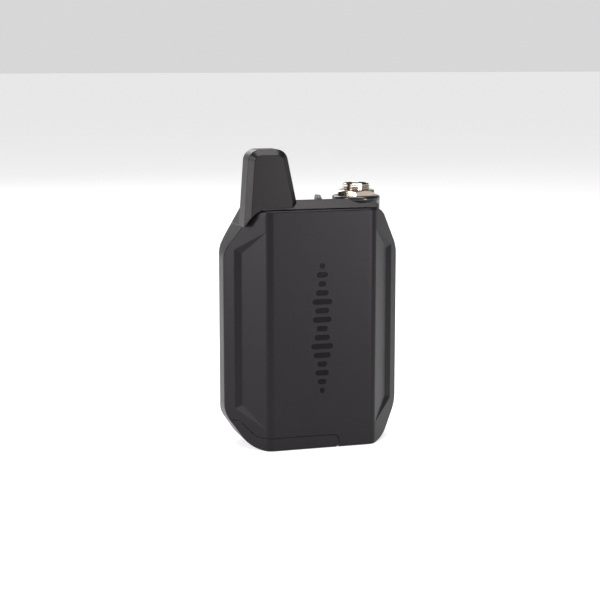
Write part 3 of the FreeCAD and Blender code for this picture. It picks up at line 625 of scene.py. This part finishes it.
# %% [markdown]
# The collar is a thin skin over the cap's round seat. Its profile goes up the outside, round the
# rolled edge and in under the nut, then back along the inside, so the spun piece is closed.

# %% A glossy collar round the jack
COLLAR_RADIUS = 8.62 * MM
COLLAR_TALL = 2.6 * MM
COLLAR_ROLL = 0.75 * MM
COLLAR_SKIN = 0.16 * MM
COLLAR_UNDER_NUT = 0.9 * MM
COLLAR_STEPS = 96
GLOSS_BLACK = (0.006, 0.0058, 0.0066)
GLOSS_ROUGH = 0.13
GLOSS_SHINE = 0.45
nut_low, nut_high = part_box("jack_nut")
jack_low, jack_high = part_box("jack_barrel")
jack_centre = Vector(((jack_low.x + jack_high.x) / 2, (jack_low.y + jack_high.y) / 2, nut_low.z))
collar_inner = (nut_high.x - nut_low.x) / 2 - COLLAR_UNDER_NUT
gloss = Finish("glossy_collar", GLOSS_BLACK, GLOSS_ROUGH)
gloss.set(Roughness=gloss.smeared(GLOSS_ROUGH, 0.8 * MM, 0.08), Specular_IOR_Level=GLOSS_SHINE)
roll_radius = COLLAR_RADIUS - COLLAR_ROLL
profile = [(COLLAR_RADIUS, -COLLAR_TALL)]
profile += arc(roll_radius, COLLAR_SKIN - COLLAR_ROLL, COLLAR_ROLL, 0, 90)
profile += [(collar_inner, COLLAR_SKIN), (collar_inner, -COLLAR_SKIN)]
profile += arc(roll_radius, -COLLAR_ROLL, COLLAR_ROLL - COLLAR_SKIN, 90, 0)
profile += [(COLLAR_RADIUS - COLLAR_SKIN, -COLLAR_TALL)]
collar_mesh = bmesh.new()
spin(collar_mesh, profile, jack_centre, COLLAR_STEPS)
collar = make_piece("jack_collar", collar_mesh, gloss.material, "root")
for face in collar.data.polygons:
    face.use_smooth = True
print("collar is", round(2 * COLLAR_RADIUS / MM, 1), "mm across")

# %% [markdown]
# The charging port's tongue carries a row of gold contacts on both faces. Each contact is a thin
# bar, set in from the tongue's tip, and the row is a loop over its pitch.

# %% Gold contacts in the charging port
CONTACT_COUNT = 10
CONTACT_ROW = 0.9
CONTACT_FILL = 0.5
CONTACT_ROUND = 0.12
CONTACT_THICK = 0.05 * MM
CONTACT_LONG = 3.4 * MM
CONTACT_TIP = 0.5 * MM
tongue_low, tongue_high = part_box("port_tongue")
contact_pitch = (tongue_high.z - tongue_low.z) * CONTACT_ROW / CONTACT_COUNT
contact_outline = rounded_outline(CONTACT_LONG, contact_pitch * CONTACT_FILL,
                                  contact_pitch * CONTACT_ROUND)
contact_x = tongue_high.x - CONTACT_TIP - CONTACT_LONG / 2
tongue_middle = (tongue_low.z + tongue_high.z) / 2
contact_mesh = bmesh.new()
for face_y, outward in ((tongue_low.y, -1), (tongue_high.y, 1)):
    for index in range(CONTACT_COUNT):
        middle = tongue_middle + (index - (CONTACT_COUNT - 1) / 2) * contact_pitch
        add_slab(contact_mesh, contact_outline, CONTACT_THICK,
                 lambda x, depth, z: (contact_x + x, face_y + outward * depth, middle + z))
make_piece("port_contacts", contact_mesh, gold, "root")
print("port has", 2 * CONTACT_COUNT, "contacts")

# %% [markdown]
# A thumb switch needs grip, so fine ribs run across the fin's two sloping faces. They are thin bars
# laid on the slope, worked out from the knob's own box, and they ride with the knob. Each bar's
# profile starts and ends at almost no radius, and a weld then closes those ends to points.

# %% Ribs on the switch knob
RIB_COUNT = 5
RIB_RADIUS = 0.11 * MM
RIB_INSET = 0.25 * MM
RIB_STEPS = 12
RIB_POINT = 0.001 * MM
FIRST_RIB = 0.22
RIB_SPAN = 0.62
FIN_ABOVE_COVER = 0.15 * MM
TIP_SHARE = 0.34
KNOB_LEAN = 0.5 * MM
WELD = 0.01 * MM
knob_low, knob_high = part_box("switch_knob")
knob_base = cover_high.z + FIN_ABOVE_COVER
knob_centre_x = (knob_low.x + knob_high.x) / 2
base_half = (knob_high.x - knob_low.x) / 2
tip_half = base_half * TIP_SHARE
length = knob_high.y - knob_low.y - 2 * RIB_INSET
rib_profile = [(RIB_POINT, 0), (RIB_RADIUS, RIB_RADIUS), (RIB_RADIUS, length - RIB_RADIUS),
               (RIB_POINT, length)]
rib_mesh = bmesh.new()
for side in (-1, 1):
    for index in range(RIB_COUNT):
        share = FIRST_RIB + RIB_SPAN * index / (RIB_COUNT - 1)
        slope_x = side * (base_half + (tip_half - base_half) * share) - KNOB_LEAN * share
        start = Vector((knob_centre_x + slope_x, knob_low.y + RIB_INSET,
                        knob_base + (knob_high.z - knob_base) * share))
        spin(rib_mesh, rib_profile, start, RIB_STEPS, "Y", closed=False)
bmesh.ops.remove_doubles(rib_mesh, verts=rib_mesh.verts, dist=WELD)
make_piece("knob_ribs", rib_mesh, knob_grey, "power_knob")
print("knob has", 2 * RIB_COUNT, "ribs")
